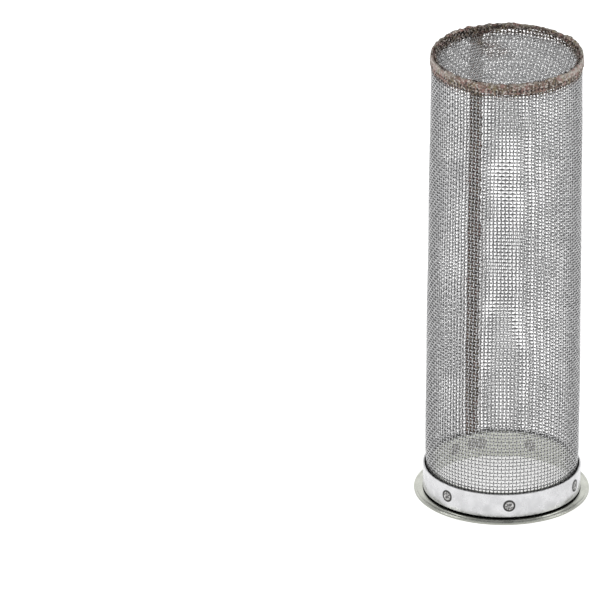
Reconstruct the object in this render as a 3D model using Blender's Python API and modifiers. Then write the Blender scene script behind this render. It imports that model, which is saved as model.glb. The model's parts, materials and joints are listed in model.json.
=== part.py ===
"""Suction strainer for a hydraulic tank: a tube of wire cloth on a pressed collar with a flange.

The strainer stands on its flange. The origin is the centre of the flange's underside, +Z runs up
the tube's axis, and the front is -Y. Angles go round from the front towards +X. All sizes are in
metres. The wire cloth is one wall of ridges and pits, in which every second pit of the tube and each
pit of the end disc is open right through; a pit stands for a patch of several real meshes.
"""

import math

import bmesh
import bpy
from mathutils import Matrix

MM = 0.001

# Overall sizes
TOTAL_HEIGHT = 150.0 * MM
CLOTH_DIAMETER = 48.0 * MM
SEAT_GAP = 0.3 * MM
TURN_STEPS = 52

# Wire cloth: the wall of the tube
CLOTH_WALL = 0.6 * MM
PIT_DEPTH = 0.35 * MM
RIDGE_HALF_WIDTH = 0.9 * MM
CLOTH_COLUMNS = 24
CLOTH_ROWS = 10
OPEN_EVERY = 2

# Collar: one pressing, with a flange that turns up into a sleeve inside the cloth
COLLAR_SHEET = 0.8 * MM
COLLAR_BEND = 1.2 * MM
FLANGE_LIP = 3.5 * MM
FLANGE_EDGE = 0.2 * MM
BEND_STEPS = 3

# Band: a strip round the outside of the cloth
BAND_SHEET = 0.45 * MM
BAND_WIDTH = 7.8 * MM
BAND_STANDOFF = 0.6 * MM
BAND_EDGE = 0.1 * MM
BAND_JOINT = 0.35 * MM
BAND_JOINT_TURN = 5.0
SLEEVE_STEP = 0.2 * MM

# Spot welds through band, cloth and sleeve
SPOT_DIAMETER = 3.8 * MM
SPOT_SINK = 0.05 * MM
SPOT_DISH = 0.12 * MM
SPOT_ANGLES = (5.2, 68.4, 112.0, 156.2, 196.8, 220.7, 259.7, 315.5)
SPOT_SIDES = 12

# Welded lap seam up the side
SEAM_ANGLE = 203.7
SEAM_WIDTH = 3.4 * MM
SEAM_RIPPLE = 0.15 * MM
SEAM_PARTS = 36

# Fused rim that joins the tube and the end disc
RIM_HEIGHT = 3.6 * MM
RIM_PROUD = 0.4 * MM
RIM_WALL = 1.5 * MM
RIM_LIP = 1.0 * MM
RIM_LIP_DEPTH = 1.1 * MM
RIM_ROUND = 0.35 * MM
RIM_RIPPLE = 0.18 * MM

# End disc: a round of wire cloth, and its edge turned up inside the rim
DISC_RECESS = 3.5 * MM
DISC_BEND = 0.8 * MM
DISC_CELL = 3.6 * MM
DISC_RIDGE_HALF_WIDTH = 0.5 * MM
DISC_PLAIN_EDGE = 0.3 * MM

# Radii and heights that follow from the sizes above
CLOTH_OUTER = CLOTH_DIAMETER / 2
CLOTH_INNER = CLOTH_OUTER - CLOTH_WALL
SLEEVE_OUTER = CLOTH_INNER - SEAT_GAP
SLEEVE_INNER = SLEEVE_OUTER - COLLAR_SHEET
FLANGE_OUTER = CLOTH_OUTER + FLANGE_LIP
BEND_END = SLEEVE_OUTER + COLLAR_BEND
BAND_INNER = CLOTH_OUTER + SEAT_GAP
BAND_OUTER = BAND_INNER + BAND_SHEET
RIM_BOTTOM = TOTAL_HEIGHT - RIM_HEIGHT
RIM_OUTER = CLOTH_OUTER + RIM_PROUD
RIM_INNER = RIM_OUTER - RIM_WALL
LIP_BOTTOM = TOTAL_HEIGHT - RIM_LIP_DEPTH
CLOTH_TOP = RIM_BOTTOM - RIM_RIPPLE - SEAT_GAP
DISC_OUTER = RIM_INNER - SEAT_GAP
DISC_TOP = TOTAL_HEIGHT - DISC_RECESS
DISC_BEND_START = DISC_OUTER - CLOTH_WALL - DISC_BEND


def collar_top(radius):
    """Height of the collar's upper side at a radius, over its bend and its flange."""
    reach = max(BEND_END - radius, 0.0)
    if reach >= COLLAR_BEND:
        return COLLAR_SHEET + COLLAR_BEND
    return COLLAR_SHEET + COLLAR_BEND - math.sqrt(COLLAR_BEND**2 - reach**2)


CLOTH_BOTTOM = collar_top(CLOTH_INNER) + SEAT_GAP
BAND_BOTTOM = collar_top(BAND_INNER) + BAND_STANDOFF
BAND_TOP = BAND_BOTTOM + BAND_WIDTH
SLEEVE_TOP = BAND_TOP - SLEEVE_STEP
SPOT_HEIGHT = (BAND_BOTTOM + BAND_TOP) / 2
HEM_TOP = BAND_TOP + SEAT_GAP

# Colour, roughness and metallic value of each finish
FINISHES = {
    "passivated_steel": ((0.63, 0.64, 0.58), 0.38, 0.85),
    "bright_steel": ((0.70, 0.70, 0.72), 0.30, 0.95),
    "wire": ((0.46, 0.46, 0.47), 0.40, 0.90),
    "rim_weld": ((0.24, 0.19, 0.16), 0.55, 0.70),
    "seam_weld": ((0.20, 0.14, 0.11), 0.60, 0.65),
    "spot_weld": ((0.30, 0.29, 0.28), 0.50, 0.85),
}


def clear_scene():
    for obj in list(bpy.data.objects):
        bpy.data.objects.remove(obj, do_unlink=True)


def new_collection(name):
    collection = bpy.data.collections.new(name)
    bpy.context.scene.collection.children.link(collection)
    return collection


def finish_material(name):
    """The Principled material of one finish, made on its first use."""
    if name in bpy.data.materials:
        return bpy.data.materials[name]
    colour, roughness, metallic = FINISHES[name]
    material = bpy.data.materials.new(name)
    material.use_nodes = True
    shader = material.node_tree.nodes["Principled BSDF"]
    shader.inputs["Base Color"].default_value = (*colour, 1.0)
    shader.inputs["Roughness"].default_value = roughness
    shader.inputs["Metallic"].default_value = metallic
    return material


def add_object(name, bm, collection):
    """An object that takes the bmesh as its mesh."""
    mesh = bpy.data.meshes.new(name)
    bm.to_mesh(mesh)
    bm.free()
    obj = bpy.data.objects.new(name, mesh)
    collection.objects.link(obj)
    return obj


def hide_as_cutter(obj):
    obj.hide_render = True
    obj.display_type = "WIRE"
    return obj


def bake_modifiers(obj):
    """Replaces the object's mesh by the one its modifiers make."""
    bpy.context.view_layer.update()
    graph = bpy.context.evaluated_depsgraph_get()
    mesh = bpy.data.meshes.new_from_object(obj.evaluated_get(graph))
    obj.modifiers.clear()
    obj.data = mesh


def dress(obj, finish, sharp_degrees=35.0):
    """Gives a finished piece its material and its shading."""
    obj.data.materials.clear()
    obj.data.materials.append(finish_material(finish))
    obj.data.shade_smooth()
    obj.data.set_sharp_from_angle(angle=math.radians(sharp_degrees))
    return obj


def cut(obj, cutter):
    boolean = obj.modifiers.new("cut_" + cutter.name, "BOOLEAN")
    boolean.operation = "DIFFERENCE"
    boolean.solver = "EXACT"
    boolean.object = cutter


def thicken(obj, wall):
    """Gives an open surface its wall, on the side away from its normals."""
    solidify = obj.modifiers.new("wall", "SOLIDIFY")
    solidify.thickness = wall
    solidify.offset = -1.0
    solidify.use_even_offset = True


def arc(centre_r, centre_z, radius, start, end, steps):
    """Points of an arc in the radius and height plane, in degrees from the outward direction."""
    points = []
    for step in range(steps + 1):
        angle = math.radians(start + (end - start) * step / steps)
        points.append((centre_r + radius * math.cos(angle), centre_z + radius * math.sin(angle)))
    return points


def turned_ring(name, section, collection):
    """A ring turned from a closed section that runs down its outer side first."""
    bm = bmesh.new()
    corners = [bm.verts.new((radius, 0.0, height)) for radius, height in section]
    for index, corner in enumerate(corners):
        bm.edges.new((corner, corners[(index + 1) % len(corners)]))
    ring = add_object(name, bm, collection)
    screw = ring.modifiers.new("turn", "SCREW")
    screw.axis = "Z"
    screw.angle = math.tau
    screw.steps = TURN_STEPS
    screw.render_steps = TURN_STEPS
    screw.use_merge_vertices = True
    screw.merge_threshold = 0.00001
    bake_modifiers(ring)
    return ring


def facing(degrees):
    """Turns the front, -Y, round to an angle."""
    return Matrix.Rotation(math.radians(degrees), 4, "Z")


def ripple(turn):
    """A fixed uneven wave between about -1 and 1 that closes on itself once round."""
    return (
        0.45 * math.sin(5 * turn + 0.6)
        + 0.35 * math.sin(11 * turn + 2.1)
        + 0.20 * math.sin(19 * turn + 4.0)
    )


def radial_rod(name, degrees, diameter, near, far, sides, collection):
    """A rod that points outwards at the height of the spot welds, from radius near to radius far."""
    bm = bmesh.new()
    lying = Matrix.Rotation(math.radians(90.0), 4, "X")
    out = Matrix.Translation((0.0, -(near + far) / 2, SPOT_HEIGHT))
    bmesh.ops.create_cone(
        bm,
        cap_ends=True,
        segments=sides,
        radius1=diameter / 2,
        radius2=diameter / 2,
        depth=far - near,
        matrix=facing(degrees) @ out @ lying,
    )
    return add_object(name, bm, collection)


def make_spot_cutters(collection):
    """One rod for each spot weld, wider than the weld by the seat gap and longer than the stack."""
    cutters = []
    for number, degrees in enumerate(SPOT_ANGLES, 1):
        cutter = radial_rod(
            f"spot_hole_{number}",
            degrees,
            SPOT_DIAMETER + 2 * SEAT_GAP,
            SLEEVE_INNER - COLLAR_SHEET,
            BAND_OUTER + BAND_SHEET,
            SPOT_SIDES,
            collection,
        )
        cutters.append(hide_as_cutter(cutter))
    return cutters


def make_flange_collar(collection, spot_cutters):
    """The pressed collar: a flat flange, a bend, and a sleeve with a hole at each spot weld."""
    section = [(SLEEVE_OUTER, SLEEVE_TOP)]
    section += arc(BEND_END, COLLAR_SHEET + COLLAR_BEND, COLLAR_BEND, 180, 270, BEND_STEPS)
    section += [
        (FLANGE_OUTER - FLANGE_EDGE, COLLAR_SHEET),
        (FLANGE_OUTER, COLLAR_SHEET - FLANGE_EDGE),
        (FLANGE_OUTER, FLANGE_EDGE),
        (FLANGE_OUTER - FLANGE_EDGE, 0.0),
    ]
    outside = COLLAR_BEND + COLLAR_SHEET
    section += arc(BEND_END, outside, outside, 270, 180, BEND_STEPS)
    section += [(SLEEVE_INNER, SLEEVE_TOP)]
    collar = turned_ring("flange_collar", section, collection)
    for cutter in spot_cutters:
        cut(collar, cutter)
    bake_modifiers(collar)
    return dress(collar, "passivated_steel")


def make_clamp_band(collection, cutters, spot_cutters):
    """The strip round the cloth, with its two ends butted and a hole at each spot weld."""
    section = [
        (BAND_OUTER - BAND_EDGE, BAND_TOP),
        (BAND_OUTER, BAND_TOP - BAND_EDGE),
        (BAND_OUTER, BAND_BOTTOM + BAND_EDGE),
        (BAND_OUTER - BAND_EDGE, BAND_BOTTOM),
        (BAND_INNER, BAND_BOTTOM),
        (BAND_INNER, BAND_TOP),
    ]
    band = turned_ring("clamp_band", section, collection)
    bm = bmesh.new()
    place = Matrix.Translation((0.0, -(BAND_INNER + BAND_OUTER) / 2, SPOT_HEIGHT))
    size = Matrix.Diagonal((BAND_JOINT, 3 * BAND_SHEET, 2 * BAND_WIDTH, 1.0))
    turn = facing(SEAM_ANGLE + BAND_JOINT_TURN)
    bmesh.ops.create_cube(bm, size=1.0, matrix=turn @ place @ size)
    joint = hide_as_cutter(add_object("band_joint_cut", bm, cutters))
    for cutter in (*spot_cutters, joint):
        cut(band, cutter)
    bake_modifiers(band)
    return dress(band, "bright_steel")


def weave_wall(obj, cell_of, ridge_half_width, open_every):
    """Sinks a pit into the outer side of each cell of a closed wall, and opens some right through.

    cell_of takes a face and gives (column, row, outer), or None for a face that is no cell. The
    open pits lie on slanted lines, one in open_every of all.
    """
    bm = bmesh.new()
    bm.from_mesh(obj.data)
    outer = {}
    inner = {}
    for face in bm.faces:
        cell = cell_of(face)
        if cell:
            side = outer if cell[2] else inner
            side[cell[:2]] = face
    gaps = [cell for cell in outer if sum(cell) % open_every == 0]
    sunk = dict(thickness=ridge_half_width, use_even_offset=True)
    bmesh.ops.inset_individual(bm, faces=list(outer.values()), depth=-PIT_DEPTH, **sunk)
    bmesh.ops.inset_individual(bm, faces=[inner[cell] for cell in gaps], depth=0.0, **sunk)
    for cell in gaps:
        pair = (outer[cell], inner[cell])
        edges = [edge for face in pair for edge in face.edges]
        bmesh.ops.delete(bm, geom=pair, context="FACES_ONLY")
        bmesh.ops.bridge_loops(bm, edges=edges)
    bm.to_mesh(obj.data)
    bm.free()


def make_mesh_tube(collection, spot_cutters):
    """The rolled wire cloth, open along the seam, with a plain hem inside the band."""
    slot = SEAM_WIDTH / 2 + SEAM_RIPPLE + SEAT_GAP
    slot_turn = math.asin(slot / CLOTH_INNER)
    start = math.radians(SEAM_ANGLE) + slot_turn
    span = math.tau - 2 * slot_turn
    pitch = (CLOTH_TOP - HEM_TOP) / CLOTH_ROWS
    bm = bmesh.new()
    bmesh.ops.create_grid(bm, x_segments=CLOTH_COLUMNS, y_segments=CLOTH_ROWS + 1, size=0.5)
    for vert in bm.verts:
        line = round((vert.co.y + 0.5) * (CLOTH_ROWS + 1))
        height = HEM_TOP + (line - 1) * pitch if line else CLOTH_BOTTOM
        turn = start + (vert.co.x + 0.5) * span
        vert.co = (CLOTH_OUTER * math.sin(turn), -CLOTH_OUTER * math.cos(turn), height)
    tube = add_object("mesh_tube", bm, collection)
    thicken(tube, CLOTH_WALL)
    bake_modifiers(tube)

    def cell_of(face):
        centre = face.calc_center_median()
        away = centre.xy.normalized().dot(face.normal.xy)
        if centre.z < HEM_TOP or abs(away) < 0.9:
            return None
        turn = (math.atan2(centre.x, -centre.y) - start) % math.tau
        column = int(turn / span * CLOTH_COLUMNS)
        return column, int((centre.z - HEM_TOP) / pitch), away > 0

    weave_wall(tube, cell_of, RIDGE_HALF_WIDTH, OPEN_EVERY)
    for cutter in spot_cutters:
        cut(tube, cutter)
    bake_modifiers(tube)
    return dress(tube, "wire", sharp_degrees=15.0)


def make_seam_weld(collection, spot_cutters):
    """The fused strip between the cloth's two edges, a little uneven along its sides."""
    bm = bmesh.new()
    size = Matrix.Diagonal((SEAM_WIDTH, CLOTH_WALL, CLOTH_TOP - CLOTH_BOTTOM, 1.0))
    place = Matrix.Translation((0.0, -(CLOTH_INNER + CLOTH_OUTER) / 2, (CLOTH_TOP + CLOTH_BOTTOM) / 2))
    bmesh.ops.create_cube(bm, size=1.0, matrix=place @ size)
    upright = [edge for edge in bm.edges if abs(edge.verts[0].co.z - edge.verts[1].co.z) > CLOTH_WALL]
    bmesh.ops.subdivide_edges(bm, edges=upright, cuts=SEAM_PARTS - 1, use_grid_fill=True)
    for vert in bm.verts:
        side = math.copysign(1.0, vert.co.x)
        turn = math.tau * vert.co.z / TOTAL_HEIGHT
        vert.co.x += side * SEAM_RIPPLE * ripple(2 * turn + side)
    bmesh.ops.transform(bm, matrix=facing(SEAM_ANGLE), verts=bm.verts)
    seam = add_object("seam_weld", bm, collection)
    for cutter in spot_cutters:
        cut(seam, cutter)
    bake_modifiers(seam)
    return dress(seam, "seam_weld")


def make_rim_weld(collection):
    """The fused rim, a skirt over the tube's end with a lip over the end disc's edge."""
    section = arc(RIM_OUTER - RIM_ROUND, TOTAL_HEIGHT - RIM_ROUND, RIM_ROUND, 90, 0, 2)
    section += [(RIM_OUTER, RIM_BOTTOM), (RIM_INNER, RIM_BOTTOM), (RIM_INNER, LIP_BOTTOM)]
    lip_inner = RIM_INNER - RIM_LIP
    section += [(lip_inner, LIP_BOTTOM)]
    section += arc(lip_inner + RIM_ROUND, TOTAL_HEIGHT - RIM_ROUND, RIM_ROUND, 180, 90, 2)
    rim = turned_ring("rim_weld", section, collection)
    for vert in rim.data.vertices:
        turn = math.atan2(vert.co.y, vert.co.x)
        if vert.co.z > LIP_BOTTOM + SEAT_GAP:
            vert.co.z -= RIM_RIPPLE * (1.0 + ripple(turn))
        elif vert.co.z < RIM_BOTTOM + SEAT_GAP:
            vert.co.z += RIM_RIPPLE * ripple(turn + 1.0)
    return dress(rim, "rim_weld")


def make_end_disc(collection):
    """The flat round of wire cloth that closes the tube, with a plain margin."""
    flat_radius = DISC_BEND_START - SEAT_GAP
    weave_radius = flat_radius - DISC_PLAIN_EDGE
    count = 2 * int(weave_radius / DISC_CELL) + 1
    bm = bmesh.new()
    bmesh.ops.create_grid(
        bm,
        x_segments=count,
        y_segments=count,
        size=count * DISC_CELL / 2,
        matrix=Matrix.Translation((0.0, 0.0, DISC_TOP)),
    )
    corners = {face: max(vert.co.xy.length for vert in face.verts) for face in bm.faces}
    outside = [face for face, reach in corners.items() if reach > weave_radius]
    bmesh.ops.delete(bm, geom=outside, context="FACES")
    edge = [line for line in bm.edges if line.is_boundary]
    circle = bmesh.ops.create_circle(
        bm,
        cap_ends=False,
        segments=TURN_STEPS,
        radius=flat_radius,
        matrix=Matrix.Translation((0.0, 0.0, DISC_TOP)),
    )
    loop = list({line for vert in circle["verts"] for line in vert.link_edges})
    bmesh.ops.triangle_fill(bm, use_beauty=True, edges=edge + loop, normal=(0.0, 0.0, 1.0))
    bmesh.ops.recalc_face_normals(bm, faces=bm.faces)
    middle = min(bm.faces, key=lambda face: face.calc_center_median().xy.length)
    if middle.normal.z < 0.0:
        bmesh.ops.reverse_faces(bm, faces=bm.faces)
    disc = add_object("end_disc", bm, collection)
    thicken(disc, CLOTH_WALL)
    bake_modifiers(disc)

    def cell_of(face):
        centre = face.calc_center_median()
        reach = max(vert.co.xy.length for vert in face.verts)
        if len(face.verts) != 4 or abs(face.normal.z) < 0.9 or reach > weave_radius:
            return None
        return round(centre.x / DISC_CELL), round(centre.y / DISC_CELL), face.normal.z > 0

    weave_wall(disc, cell_of, DISC_RIDGE_HALF_WIDTH, 1)
    return dress(disc, "wire", sharp_degrees=15.0)


def make_disc_edge(collection):
    """The disc's edge, turned up inside the rim round the shallow dish over the disc."""
    edge_top = LIP_BOTTOM - SEAT_GAP
    centre_z = DISC_TOP + DISC_BEND
    section = [(DISC_OUTER, edge_top)]
    section += arc(DISC_BEND_START, centre_z, DISC_BEND + CLOTH_WALL, 360, 270, BEND_STEPS)
    section += arc(DISC_BEND_START, centre_z, DISC_BEND, 270, 360, BEND_STEPS)
    section += [(DISC_BEND_START + DISC_BEND, edge_top)]
    edge = turned_ring("disc_edge", section, collection)
    return dress(edge, "wire")


def make_spot_weld(number, degrees, collection):
    """One fused nugget, flush with band and sleeve and dished at both ends by the electrodes."""
    spot = radial_rod(
        f"spot_weld_{number}",
        degrees,
        SPOT_DIAMETER,
        SLEEVE_INNER + SPOT_SINK,
        BAND_OUTER - SPOT_SINK,
        SPOT_SIDES,
        collection,
    )
    bm = bmesh.new()
    bm.from_mesh(spot.data)
    ends = [face for face in bm.faces if len(face.verts) > 4]
    bmesh.ops.inset_individual(bm, faces=ends, thickness=SPOT_DIAMETER / 8, depth=-SPOT_DISH)
    bm.to_mesh(spot.data)
    bm.free()
    return dress(spot, "spot_weld")


def main():
    clear_scene()
    strainer = new_collection("suction_strainer")
    cutters = new_collection("cutters")
    spot_cutters = make_spot_cutters(cutters)
    make_flange_collar(strainer, spot_cutters)
    make_clamp_band(strainer, cutters, spot_cutters)
    make_mesh_tube(strainer, spot_cutters)
    make_seam_weld(strainer, spot_cutters)
    make_rim_weld(strainer)
    make_end_disc(strainer)
    make_disc_edge(strainer)
    for number, degrees in enumerate(SPOT_ANGLES, 1):
        make_spot_weld(number, degrees, strainer)


main()
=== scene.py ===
"""Woven wire suction strainer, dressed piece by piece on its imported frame.

Heights run up the tube's axis from the flange's underside. Angles go round from the front, -Y,
towards +X. All sizes are in metres.
"""

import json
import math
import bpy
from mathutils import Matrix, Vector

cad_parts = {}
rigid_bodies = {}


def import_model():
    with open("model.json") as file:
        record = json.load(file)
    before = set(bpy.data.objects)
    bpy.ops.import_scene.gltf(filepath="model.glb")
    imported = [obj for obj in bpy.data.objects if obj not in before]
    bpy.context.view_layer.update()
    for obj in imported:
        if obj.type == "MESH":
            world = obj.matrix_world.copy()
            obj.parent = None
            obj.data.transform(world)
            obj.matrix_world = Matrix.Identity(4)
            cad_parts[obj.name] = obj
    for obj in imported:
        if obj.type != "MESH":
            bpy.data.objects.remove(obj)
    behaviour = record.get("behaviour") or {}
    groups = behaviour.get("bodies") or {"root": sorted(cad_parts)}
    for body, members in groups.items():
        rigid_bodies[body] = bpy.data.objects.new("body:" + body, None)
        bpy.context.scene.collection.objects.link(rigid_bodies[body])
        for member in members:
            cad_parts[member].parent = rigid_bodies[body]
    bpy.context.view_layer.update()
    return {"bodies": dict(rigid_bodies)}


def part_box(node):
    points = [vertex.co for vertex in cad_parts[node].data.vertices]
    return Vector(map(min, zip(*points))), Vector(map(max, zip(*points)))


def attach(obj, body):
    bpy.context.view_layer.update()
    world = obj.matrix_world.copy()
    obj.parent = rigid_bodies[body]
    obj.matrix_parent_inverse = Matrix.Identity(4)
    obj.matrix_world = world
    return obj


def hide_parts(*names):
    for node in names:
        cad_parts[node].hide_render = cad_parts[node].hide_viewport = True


bl_info = {
    "name": "Suction Strainer",
    "version": (1, 0, 0),
    "blender": (4, 5, 0),
    "location": "View3D > Sidebar > Strainer",
    "description": "Builds a woven wire suction strainer on its packed frame",
    "category": "Add Mesh",
}

import bmesh
import bpy
import numpy as np
from mathutils import Matrix, Vector, noise

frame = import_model()

MM = 0.001
BODY = next(iter(frame["bodies"]))
COLLAR_LOW, COLLAR_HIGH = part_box("flange_collar")
BAND_LOW, BAND_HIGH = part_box("clamp_band")
RIM_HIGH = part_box("rim_weld")[1]

# Places that several pieces share
SEAM_TURN = math.radians(203.7)
BAND_JOINT_TURN = SEAM_TURN + math.radians(5.0)
SPOT_TURNS = tuple(math.radians(turn) for turn in (5.2, 68.4, 112.0, 156.2, 196.8, 220.7, 259.7, 315.5))
SPOT_HEIGHT = (BAND_LOW.z + BAND_HIGH.z) / 2
DOUBLE_SPOT = 5
CLOTH_FOOT = COLLAR_LOW.z + 1.9 * MM
CLOTH_MIDDLE = 23.7 * MM
SLEEVE_OUTER = 23.1 * MM

# The tube's outer radius at a few heights: held in by the band, a slight belly, drawn in at the top
TUBE_HEIGHTS = np.array((0.0, 9.5, 14.0, 30.0, 65.0, 100.0, 134.0, 145.0, 149.5)) * MM
TUBE_RADII = np.array((23.82, 23.82, 24.06, 24.08, 24.15, 23.9, 23.62, 23.58, 23.7)) * MM

# How far the fused rim runs down, at some angles round it: outside on the tube, inside on the disc's edge
RIM_TURNS = np.radians((0, 60, 95, 120, 150, 180, 205, 245, 270, 300, 360))
RIM_OUTER_DEPTHS = np.array((4.6, 4.2, 4.0, 2.4, 1.2, 1.9, 3.0, 3.8, 4.0, 4.2, 4.6)) * MM
RIM_INNER_DEPTHS = np.array((2.4, 2.4, 2.4, 1.8, 1.0, 1.7, 3.2, 3.4, 3.2, 2.6, 2.4)) * MM

# The fused rim's wedge: narrow at its crest, wider and leaning inwards at its foot
RIM_SECTION_POINTS = 44
RIM_STEPS_PER_WIRE = 6
RIM_CREST_DROP = 0.85 * MM
RIM_MIDDLE = 23.45 * MM
RIM_LEAN = 0.34 * MM
RIM_HALF_CREST = 0.36 * MM
RIM_WIDENING = 0.60 * MM
RIM_LEAST_DEPTH = 0.7 * MM
RIM_PATTERN_RADIUS = 23.4 * MM
CELL_PIT = 0.26 * MM

# Slow waves of hand-rolled cloth: size in mm, waves round the tube, radians per metre of height, phase
SWAY_WAVES = ((0.10, 3, 118, 0.0), (0.07, 7, -305, 1.0), (0.05, 2, 640, 0.0))
RISE_WAVES = ((0.12, 2, 85, 0.5), (0.07, 6, 240, 2.0))
DENT_WAVES = ((0.07, 4, 64, 0.0), (0.05, 9, -150, 0.0))

# The corners of a six-sided wire stand out by this share, so that it looks as thick as a round one
WIRE_CORNERS = 1.06

# Heights between which heat tint, painted sheen, painted highlight and painted shade fade in
HEAT_HEIGHTS = (143.0 * MM, 145.2 * MM)
SIDE_SHEEN_HEIGHTS = (147.0 * MM, 147.8 * MM)
CREST_HIGHLIGHT_HEIGHTS = (148.3 * MM, 149.1 * MM)
HOLLOW_HEIGHT = 148.6 * MM
HOLLOW_FADE = 2.0 * MM

# Fixed shades: soot, the marks' rings and sleeve marks, and painted shadows and a painted highlight
SOOT_SHADE = (0.04, 0.033, 0.032)
# Painted shade in the fused metal's hollows
HOLLOW_SHADOW = (0.018, 0.016, 0.015)
# Painted highlight on the rim's crest
CREST_HIGHLIGHT = (0.33, 0.32, 0.28)
# Painted shadow on the wires just above the band
BAND_EDGE_SHADOW = (0.05, 0.05, 0.05)
# Painted shadow in the collar's crevice under the band
CREVICE_SHADOW = (0.02, 0.019, 0.018)
MARK_RING_SHADE = (0.05, 0.049, 0.048)
SLEEVE_MARK_SHADE = (0.52, 0.51, 0.47)


class StrainerSizes(bpy.types.PropertyGroup):
    """Sizes of the strainer's own detail"""

    wire_diameter: bpy.props.FloatProperty(
        name="Wire diameter",
        description="Thickness of each wire of the cloth",
        default=0.35 * MM,
        min=0.1 * MM,
        max=0.6 * MM,
        precision=5,
        unit="LENGTH",
    )
    wires_around: bpy.props.IntProperty(
        name="Wires around",
        description="Number of upright wires round the tube, an even number",
        default=124,
        min=40,
        max=160,
    )
    row_pitch: bpy.props.FloatProperty(
        name="Row pitch",
        description="Height from one level wire of the tube to the next",
        default=1.182 * MM,
        min=0.8 * MM,
        max=3.0 * MM,
        precision=5,
        unit="LENGTH",
    )
    disc_turn: bpy.props.FloatProperty(
        name="Disc turn",
        description="How far the end disc's wires are turned from the view's left and right",
        default=math.radians(-16.8),
        subtype="ANGLE",
    )
    disc_skew: bpy.props.FloatProperty(
        name="Disc skew",
        description="How far the disc's two sets of wires are pulled out of square",
        default=math.radians(15.0),
        subtype="ANGLE",
    )
    disc_recess: bpy.props.FloatProperty(
        name="Disc recess",
        description="Depth of the end disc below the rim",
        default=3.5 * MM,
        min=1.0 * MM,
        max=8.0 * MM,
        precision=5,
        unit="LENGTH",
    )
    seam_width: bpy.props.FloatProperty(
        name="Seam width",
        description="Width of the fused strip up the side",
        default=4.35 * MM,
        min=1.0 * MM,
        max=8.0 * MM,
        precision=5,
        unit="LENGTH",
    )
    sheet: bpy.props.FloatProperty(
        name="Collar sheet",
        description="Thickness of the collar's sheet",
        default=0.8 * MM,
        min=0.4 * MM,
        max=1.5 * MM,
        precision=5,
        unit="LENGTH",
    )
    spot_diameter: bpy.props.FloatProperty(
        name="Spot mark diameter",
        description="Diameter of the electrode marks",
        default=3.9 * MM,
        min=2.0 * MM,
        max=6.0 * MM,
        precision=5,
        unit="LENGTH",
    )


def colour_property(name, description, default):
    return bpy.props.FloatVectorProperty(
        name=name,
        description=description,
        default=default,
        size=3,
        min=0.0,
        max=1.0,
        subtype="COLOR",
    )


class StrainerColours(bpy.types.PropertyGroup):
    """Colours of the strainer's finishes"""

    collar: colour_property("Collar", "Plated zinc of the flange and sleeve", (0.62, 0.632, 0.57))
    band: colour_property("Band", "Bright satin strip", (0.635, 0.635, 0.645))
    wire_light: colour_property("Wire, clean", "Clean part of the wires", (0.66, 0.66, 0.665))
    wire_dark: colour_property("Wire, dull", "Dull part of the wires", (0.46, 0.46, 0.465))
    heat_brown: colour_property("Heat brown", "Main colour of the fused metal", (0.125, 0.091, 0.070))
    heat_pink: colour_property("Heat pink", "Pinkish patches of the fused metal", (0.27, 0.165, 0.145))
    heat_olive: colour_property("Heat olive", "Olive patches of the fused metal", (0.21, 0.178, 0.11))
    heat_pale: colour_property("Heat pale", "Bare bright flecks of the fused metal", (0.52, 0.48, 0.44))
    spot: colour_property("Spot mark", "Dull grey of the electrode marks", (0.34, 0.335, 0.33))
    floor: colour_property("Floor", "The plain floor under the strainer", (0.86, 0.86, 0.86))


# Shape helpers


def outward(turn):
    """Unit vector from the axis towards an angle."""
    return Vector((math.sin(turn), -math.cos(turn), 0.0))


def alongside(turn):
    """Unit vector round the tube at an angle."""
    return Vector((math.cos(turn), math.sin(turn), 0.0))


def tube_radius(height):
    return np.interp(height, TUBE_HEIGHTS, TUBE_RADII)


def roughness_at(point, size, seed):
    """Smooth fixed noise between about -1 and 1, with lumps of a given size."""
    return noise.noise(Vector(point) / size + Vector((seed, seed * 1.7, seed * 0.3)))


def finish_piece(name, bm, material, nodes, sharp_degrees=35.0):
    """Makes the bmesh a piece of the strainer that stands for some nodes of the frame."""
    mesh = bpy.data.meshes.new(name)
    bm.to_mesh(mesh)
    bm.free()
    mesh.materials.append(material)
    mesh.shade_smooth()
    if sharp_degrees:
        mesh.set_sharp_from_angle(angle=math.radians(sharp_degrees))
    piece = bpy.data.objects.new(name, mesh)
    bpy.context.scene.collection.objects.link(piece)
    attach(piece, BODY)
    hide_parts(*nodes)
    return piece


def reshape(mesh, move):
    """Moves all of a mesh's vertices at once: move takes and returns the x, y and z arrays."""
    flat = np.empty(len(mesh.vertices) * 3, np.float32)
    mesh.vertices.foreach_get("co", flat)
    x, y, z = flat.reshape(-1, 3).astype(float).T
    flat = np.stack(move(x, y, z), axis=1).astype(np.float32)
    mesh.vertices.foreach_set("co", flat.ravel())
    mesh.update()


def mark_crowns(mesh, axis, diameter):
    """Notes on flat cloth how far each vertex stands off the cloth's middle, from 0 to 1."""
    flat = np.empty(len(mesh.vertices) * 3, np.float32)
    mesh.vertices.foreach_get("co", flat)
    off = np.abs(flat.reshape(-1, 3)[:, axis]) / np.float32(diameter)
    mesh.attributes.new("crown", "FLOAT", "POINT").data.foreach_set("value", off)


def cell_hollow(turn, height, sizes):
    """How deep a place on the tube lies in an opening of its cloth, from 0 on the wires to 1."""
    around = np.cos((turn - SEAM_TURN) * sizes.wires_around)
    level = -np.cos(math.tau * (height - CLOTH_FOOT) / sizes.row_pitch)
    return np.clip(around + 0.3, 0.0, 1.0) * np.clip(level + 0.3, 0.0, 1.0)


def mark_hollows(mesh, sizes, fading):
    """Notes the cloth's openings on a fused piece, as far as fading lets them show at each height."""
    flat = np.empty(len(mesh.vertices) * 3, np.float32)
    mesh.vertices.foreach_get("co", flat)
    x, y, z = flat.reshape(-1, 3).astype(float).T
    hollow = cell_hollow(np.arctan2(x, -y), z, sizes) * fading(z)
    mesh.attributes.new("hollow", "FLOAT", "POINT").data.foreach_set("value", hollow.astype(np.float32))


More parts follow.
